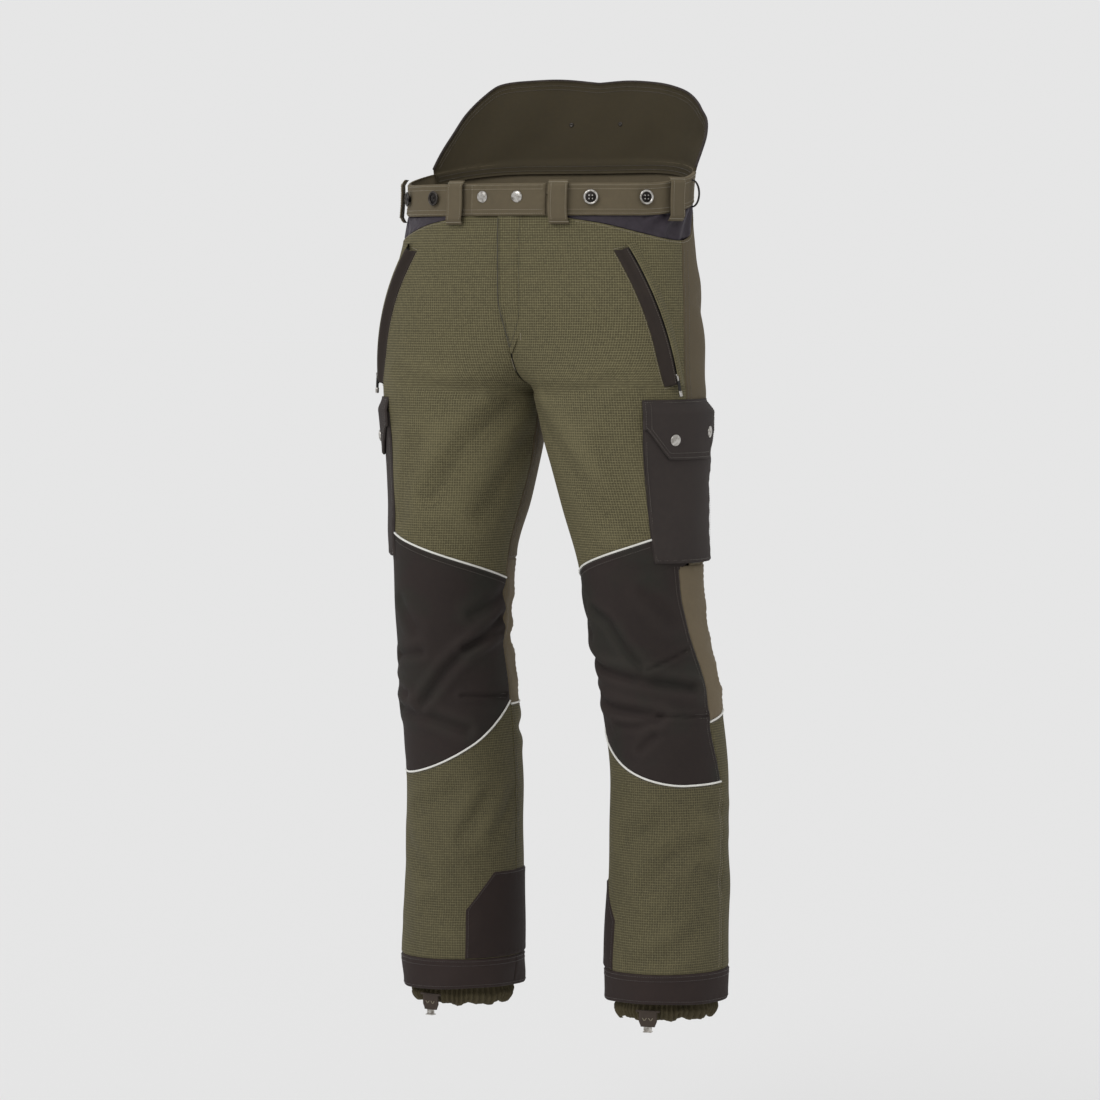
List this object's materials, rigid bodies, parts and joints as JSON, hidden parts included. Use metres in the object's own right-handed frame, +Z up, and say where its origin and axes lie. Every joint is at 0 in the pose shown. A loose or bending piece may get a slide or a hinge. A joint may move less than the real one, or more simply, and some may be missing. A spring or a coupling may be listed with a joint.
{
  "type": "chainsaw protection trousers",
  "caption": "Chainsaw protection trousers as worn: raised kidney yoke, closing waist tab, zipped slant pockets, cargo pockets, bending knees, cuffs with lace hooks.",
  "frame": {"origin": "centre of the waist opening, level with the front top edge of the waistband", "axes": "+Z up, the front faces -Y, the wearer's left leg is at +X"},
  "size_m": [0.4736, 0.2768, 1.2363],
  "materials": {
    "khaki_stretch": "woven stretch",
    "olive_ripstop": "ripstop weave",
    "olive_cloth": "plain weave",
    "charcoal_cloth": "tough matt weave",
    "mesh": "knitted mesh",
    "reflective_piping": "reflective",
    "cut_protection": "loose knitted layers",
    "lining": "smooth",
    "black_trim": "matt",
    "snap_metal": "brushed",
    "button_metal": "antiqued"
  },
  "bodies": {
    "waist": {"waistband": "khaki_stretch", "waist_snap_studs": "snap_metal", "belt_loops": "khaki_stretch", "side_elastic_loops": "black_trim", "front_brace_buttons": "button_metal", "rear_brace_buttons": "button_metal", "back_yoke": "olive_cloth", "yoke_binding": "charcoal_cloth", "hip_mesh_inserts": "mesh", "left_front_panel": "olive_ripstop", "right_front_panel": "olive_ripstop", "left_back_panel": "khaki_stretch", "right_back_panel": "khaki_stretch", "fly_placket": "olive_ripstop", "fly_zip": "black_trim", "pocket_welts": "charcoal_cloth", "pocket_zips": "black_trim", "pocket_bags": "lining", "thigh_cut_pads": "cut_protection", "upper_lining": "lining", "knee_top_piping": "reflective_piping", "left_knee_upper": "charcoal_cloth", "right_knee_upper": "charcoal_cloth", "left_cargo_pocket": "charcoal_cloth", "right_cargo_pocket": "charcoal_cloth", "left_cargo_studs": "snap_metal", "right_cargo_studs": "snap_metal"},
    "waist_tab": {"waist_tab": "khaki_stretch", "waist_snap_caps": "snap_metal"},
    "fly_slider": {"fly_slider": "snap_metal", "fly_pull": "snap_metal"},
    "left_pocket_slider": {"left_pocket_slider": "snap_metal"},
    "right_pocket_slider": {"right_pocket_slider": "snap_metal"},
    "left_pocket_pull": {"left_pocket_pull": "black_trim"},
    "right_pocket_pull": {"right_pocket_pull": "black_trim"},
    "left_cargo_flap": {"left_cargo_flap": "charcoal_cloth", "left_flap_caps": "snap_metal"},
    "right_cargo_flap": {"right_cargo_flap": "charcoal_cloth", "right_flap_caps": "snap_metal"},
    "left_lower_leg": {"left_knee_lower": "charcoal_cloth", "left_shin_panels": "olive_ripstop", "left_inner_guard": "charcoal_cloth", "left_hem_band": "charcoal_cloth", "left_shin_piping": "reflective_piping", "left_shin_cut_pad": "cut_protection", "left_gaiter": "olive_cloth"},
    "left_boot_tab": {"left_boot_tab": "charcoal_cloth", "left_boot_hook": "snap_metal"},
    "right_lower_leg": {"right_knee_lower": "charcoal_cloth", "right_shin_panels": "olive_ripstop", "right_inner_guard": "charcoal_cloth", "right_hem_band": "charcoal_cloth", "right_shin_piping": "reflective_piping", "right_shin_cut_pad": "cut_protection", "right_gaiter": "olive_cloth"},
    "right_boot_tab": {"right_boot_tab": "charcoal_cloth", "right_boot_hook": "snap_metal"}
  },
  "joints": [
    {"name": "waist_tab_hinge", "type": "hinge", "parent": "waist", "child": "waist_tab", "pos_m": [0.05591, -0.12278, -0.02], "axis": [0, 0, 1], "range_deg": [0, 90]},
    {"name": "fly_zip", "type": "slide", "parent": "waist", "child": "fly_slider", "axis": [0, 0.0708, -0.9975], "range_m": [0, 0.13]},
    {"name": "left_knee", "type": "hinge", "parent": "waist", "child": "left_lower_leg", "pos_m": [0.1485, 0.01819, -0.63], "axis": [1, 0, 0], "range_deg": [0, 75]},
    {"name": "left_pocket_zip", "type": "hinge", "parent": "waist", "child": "left_pocket_slider", "pos_m": [-0.11528, 0.02293, -0.25009], "axis": [-0.2573, -0.9372, -0.2356], "range_deg": [0, 28.4]},
    {"name": "left_pocket_pull_swing", "type": "hinge", "parent": "left_pocket_slider", "child": "left_pocket_pull", "pos_m": [0.21621, -0.07044, -0.24652], "axis": [-0.6275, -0.7469, -0.2197], "range_deg": [-3, 110]},
    {"name": "left_flap_hinge", "type": "hinge", "parent": "waist", "child": "left_cargo_flap", "pos_m": [0.2166, -0.04533, -0.274], "axis": [-0.1895, -0.9819, 0], "range_deg": [0, 60]},
    {"name": "left_boot_tab_swing", "type": "hinge", "parent": "left_lower_leg", "child": "left_boot_tab", "pos_m": [0.15866, -0.03452, -1.061], "axis": [-0.9885, -0.1512, 0], "range_deg": [0, 95]},
    {"name": "right_knee", "type": "hinge", "parent": "waist", "child": "right_lower_leg", "pos_m": [-0.1485, 0.01819, -0.63], "axis": [1, 0, 0], "range_deg": [0, 75]},
    {"name": "right_pocket_zip", "type": "hinge", "parent": "waist", "child": "right_pocket_slider", "pos_m": [0.11528, 0.02293, -0.25009], "axis": [-0.2573, 0.9372, 0.2356], "range_deg": [0, 28.4]},
    {"name": "right_pocket_pull_swing", "type": "hinge", "parent": "right_pocket_slider", "child": "right_pocket_pull", "pos_m": [-0.21621, -0.07044, -0.24652], "axis": [-0.6275, 0.7469, 0.2197], "range_deg": [-3, 110]},
    {"name": "right_flap_hinge", "type": "hinge", "parent": "waist", "child": "right_cargo_flap", "pos_m": [-0.2166, -0.04533, -0.274], "axis": [-0.1895, 0.9819, 0], "range_deg": [0, 60]},
    {"name": "right_boot_tab_swing", "type": "hinge", "parent": "right_lower_leg", "child": "right_boot_tab", "pos_m": [-0.15866, -0.03452, -1.061], "axis": [-0.9885, 0.1512, 0], "range_deg": [0, 95]}
  ]
}
